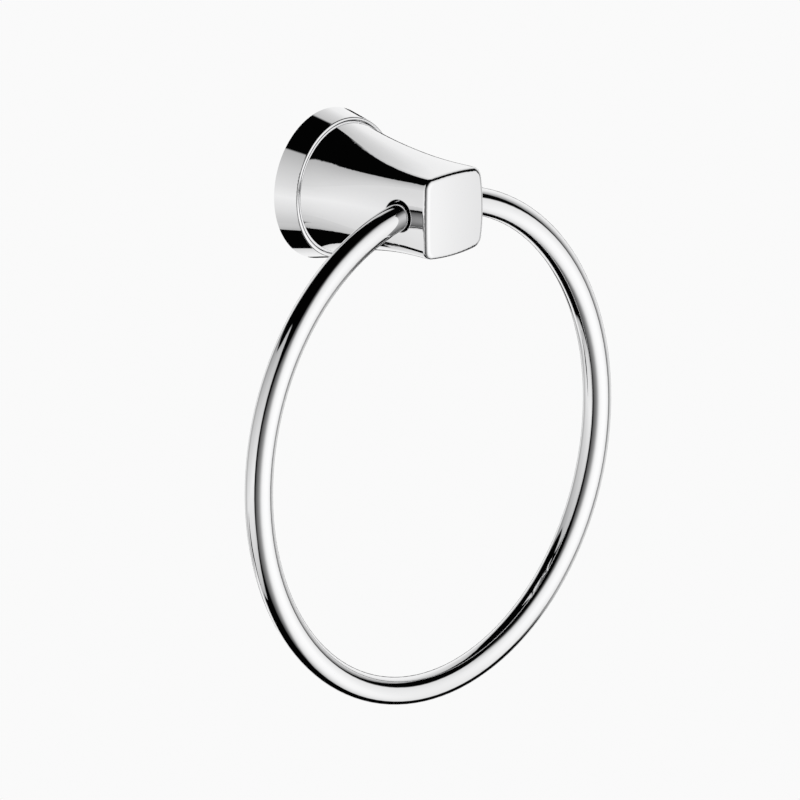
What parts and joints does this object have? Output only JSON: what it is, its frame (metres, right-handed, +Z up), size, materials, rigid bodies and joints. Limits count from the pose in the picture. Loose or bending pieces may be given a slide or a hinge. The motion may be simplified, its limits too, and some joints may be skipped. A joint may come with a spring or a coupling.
{
  "type": "towel ring",
  "caption": "Wall-mounted chrome towel ring: a round bar ring swings in a cross bore through a flared post on a round wall flange.",
  "frame": {"origin": "centre of the mounting face that lies on the wall, on the axis of the post", "axes": "+X right seen from the room, +Y into the wall, +Z up; the post stands out along -Y"},
  "size_m": [0.169, 0.057, 0.1882],
  "materials": {
    "post_chrome": "polished chrome plate",
    "flange_chrome": "polished chrome plate",
    "ring_chrome": "polished chrome plate",
    "bracket_metal": "plain zinc casting, tumbled",
    "screw_steel": "plain steel",
    "pin_brass": "turned"
  },
  "bodies": {
    "root": {"post": "post_chrome", "wall_flange": "flange_chrome", "wall_bracket": "bracket_metal", "bracket_set_screw": "screw_steel", "ring_retaining_screw": "screw_steel"},
    "ring": {"towel_ring": "ring_chrome", "ring_joint_pin": "pin_brass"}
  },
  "joints": [
    {"name": "ring_swing", "type": "hinge", "parent": "root", "child": "ring", "pos_m": [0, -0.0444, 0], "axis": [-1, 0, 0], "range_deg": [-14, 194]}
  ]
}
